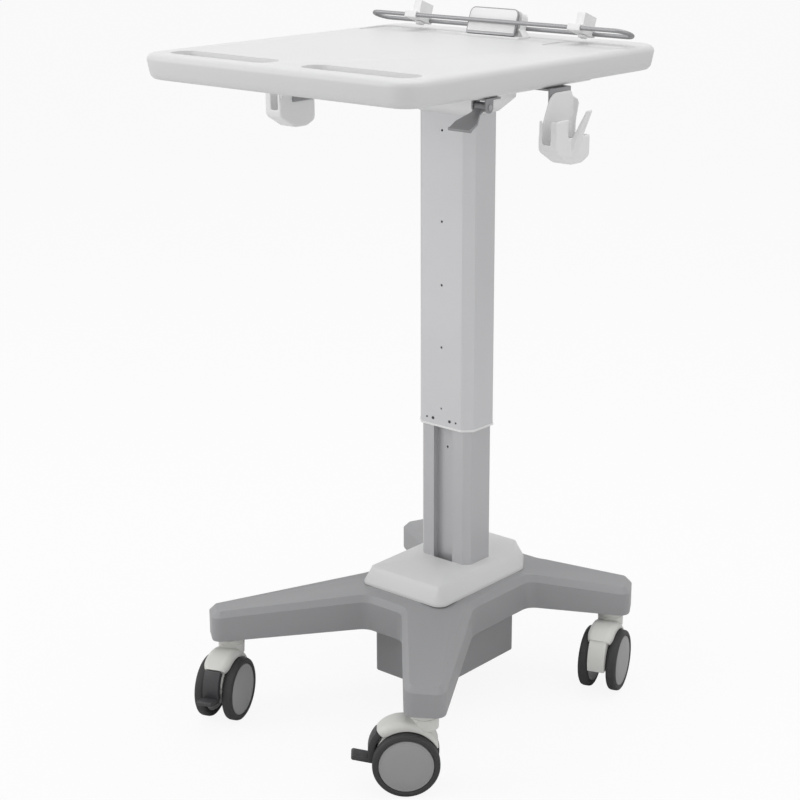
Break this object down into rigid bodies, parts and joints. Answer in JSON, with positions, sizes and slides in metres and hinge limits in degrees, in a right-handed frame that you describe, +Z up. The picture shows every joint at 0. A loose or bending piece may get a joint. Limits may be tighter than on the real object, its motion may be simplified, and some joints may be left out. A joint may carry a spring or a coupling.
{
  "type": "medical laptop cart",
  "caption": "Height-adjustable medical laptop cart: worktop with laptop retaining bar, release lever and side holders, on a telescopic column and a four-leg base with twin-wheel casters.",
  "frame": {"origin": "centre of the bounding box, on the floor", "axes": "+Z up, +Y away from the user towards the laptop bracket, +X to the user's right"},
  "size_m": [0.614, 0.6188, 1.0927],
  "materials": {
    "worktop_plastic": "satin moulded",
    "trim_plastic": "fine moulded grain",
    "column_coat": "light grey powder coat",
    "base_coat": "mid grey powder coat",
    "grey_metal": "satin",
    "bright_steel": "satin",
    "spring_coat": "satin black",
    "fork_plastic": "satin moulded",
    "disc_plastic": "satin moulded",
    "dark_plastic": "satin moulded",
    "tread": "matt"
  },
  "bodies": {
    "root": {"base_casting": "base_coat", "hub_cover": "trim_plastic", "weight_box": "base_coat", "ballast_block": "base_coat", "foot_plate": "base_coat", "foot_bolts": "bright_steel", "caster_stems": "bright_steel", "lower_column": "column_coat", "lower_column_cap": "dark_plastic", "gas_spring_tube": "spring_coat"},
    "lift": {"gas_spring_rod": "bright_steel", "upper_column": "column_coat", "column_collar": "trim_plastic", "glide_bush": "trim_plastic", "fixing_screws": "bright_steel", "support_frame": "base_coat", "head_cover": "trim_plastic", "underside_pan": "trim_plastic", "worktop": "worktop_plastic", "lever_bracket": "grey_metal", "lever_pin": "bright_steel", "bracket_shell": "trim_plastic", "bracket_core": "dark_plastic", "bracket_plate": "trim_plastic", "bracket_rim": "grey_metal", "holder_left": "trim_plastic", "holder_right": "trim_plastic", "holder_hangers": "grey_metal"},
    "lever": {"release_lever": "grey_metal"},
    "bar": {"retaining_bar": "grey_metal"},
    "left_clip": {"clip_left": "trim_plastic"},
    "right_clip": {"clip_right": "trim_plastic"},
    "left_knob": {"clip_knob_left": "disc_plastic"},
    "right_knob": {"clip_knob_right": "disc_plastic"},
    "caster_fl": {"fork_fl": "fork_plastic", "pins_fl": "bright_steel"},
    "wheel_fl_l": {"hub_fl_l": "disc_plastic", "tyre_fl_l": "tread"},
    "wheel_fl_r": {"hub_fl_r": "disc_plastic", "tyre_fl_r": "tread"},
    "brake_fl": {"pedal_fl": "dark_plastic"},
    "caster_fr": {"fork_fr": "fork_plastic", "pins_fr": "bright_steel"},
    "wheel_fr_l": {"hub_fr_l": "disc_plastic", "tyre_fr_l": "tread"},
    "wheel_fr_r": {"hub_fr_r": "disc_plastic", "tyre_fr_r": "tread"},
    "brake_fr": {"pedal_fr": "dark_plastic"},
    "caster_bl": {"fork_bl": "fork_plastic", "pins_bl": "bright_steel"},
    "wheel_bl_l": {"hub_bl_l": "disc_plastic", "tyre_bl_l": "tread"},
    "wheel_bl_r": {"hub_bl_r": "disc_plastic", "tyre_bl_r": "tread"},
    "caster_br": {"fork_br": "fork_plastic", "pins_br": "bright_steel"},
    "wheel_br_l": {"hub_br_l": "disc_plastic", "tyre_br_l": "tread"},
    "wheel_br_r": {"hub_br_r": "disc_plastic", "tyre_br_r": "tread"}
  },
  "joints": [
    {"name": "lift_slide", "type": "slide", "parent": "root", "child": "lift", "axis": [0, 0, 1], "range_m": [-0.2, 0.2]},
    {"name": "lever_hinge", "type": "hinge", "parent": "lift", "child": "lever", "pos_m": [0.229, -0.11781, 0.995], "axis": [-1, 0, 0], "range_deg": [0, 18], "stiffness_Nm_per_rad": 0.4},
    {"name": "bar_slide", "type": "slide", "parent": "lift", "child": "bar", "axis": [0, 0.342, 0.9397], "range_m": [-0.003, 0.012]},
    {"name": "left_clip_slide", "type": "slide", "parent": "bar", "child": "left_clip", "axis": [1, 0, 0], "range_m": [-0.055, 0.085]},
    {"name": "left_knob_turn", "type": "hinge", "parent": "left_clip", "child": "left_knob", "pos_m": [-0.158, 0.21262, 1.05839], "axis": [0, 0.342, 0.9397], "range_deg": [0, 180]},
    {"name": "right_clip_slide", "type": "slide", "parent": "bar", "child": "right_clip", "axis": [1, 0, 0], "range_m": [-0.085, 0.055]},
    {"name": "right_knob_turn", "type": "hinge", "parent": "right_clip", "child": "right_knob", "pos_m": [0.158, 0.21262, 1.05839], "axis": [0, 0.342, 0.9397], "range_deg": [0, 180]},
    {"name": "swivel_fl", "type": "hinge", "parent": "root", "child": "caster_fl", "pos_m": [-0.201, -0.20381, 0.126], "axis": [0, 0, 1], "continuous": true},
    {"name": "spin_fl_l", "type": "hinge", "parent": "caster_fl", "child": "wheel_fl_l", "pos_m": [-0.16903, -0.22153, 0.05], "axis": [0.9336, 0.3584, 0], "continuous": true},
    {"name": "spin_fl_r", "type": "hinge", "parent": "caster_fl", "child": "wheel_fl_r", "pos_m": [-0.21291, -0.23837, 0.05], "axis": [0.9336, 0.3584, 0], "continuous": true},
    {"name": "pedal_fl_hinge", "type": "hinge", "parent": "caster_fl", "child": "brake_fl", "pos_m": [-0.17735, -0.26543, 0.066], "axis": [0.9336, 0.3584, 0], "range_deg": [0, 10]},
    {"name": "swivel_fr", "type": "hinge", "parent": "root", "child": "caster_fr", "pos_m": [0.201, -0.20381, 0.126], "axis": [0, 0, 1], "continuous": true},
    {"name": "spin_fr_l", "type": "hinge", "parent": "caster_fr", "child": "wheel_fr_l", "pos_m": [0.1956, -0.23997, 0.05], "axis": [0.6626, -0.749, 0], "continuous": true},
    {"name": "spin_fr_r", "type": "hinge", "parent": "caster_fr", "child": "wheel_fr_r", "pos_m": [0.16446, -0.20476, 0.05], "axis": [0.6626, -0.749, 0], "continuous": true},
    {"name": "pedal_fr_hinge", "type": "hinge", "parent": "caster_fr", "child": "brake_fr", "pos_m": [0.15157, -0.24754, 0.066], "axis": [0.6626, -0.749, 0], "range_deg": [0, 10]},
    {"name": "swivel_bl", "type": "hinge", "parent": "root", "child": "caster_bl", "pos_m": [-0.201, 0.27219, 0.126], "axis": [0, 0, 1], "continuous": true},
    {"name": "spin_bl_l", "type": "hinge", "parent": "caster_bl", "child": "wheel_bl_l", "pos_m": [-0.173, 0.24869, 0.05], "axis": [0.9848, 0.1736, 0], "continuous": true},
    {"name": "spin_bl_r", "type": "hinge", "parent": "caster_bl", "child": "wheel_bl_r", "pos_m": [-0.21928, 0.24053, 0.05], "axis": [0.9848, 0.1736, 0], "continuous": true},
    {"name": "swivel_br", "type": "hinge", "parent": "root", "child": "caster_br", "pos_m": [0.201, 0.27219, 0.126], "axis": [0, 0, 1], "continuous": true},
    {"name": "spin_br_l", "type": "hinge", "parent": "caster_br", "child": "wheel_br_l", "pos_m": [0.232, 0.25282, 0.05], "axis": [0.9511, 0.309, 0], "continuous": true},
    {"name": "spin_br_r", "type": "hinge", "parent": "caster_br", "child": "wheel_br_r", "pos_m": [0.1873, 0.2383, 0.05], "axis": [0.9511, 0.309, 0], "continuous": true}
  ]
}
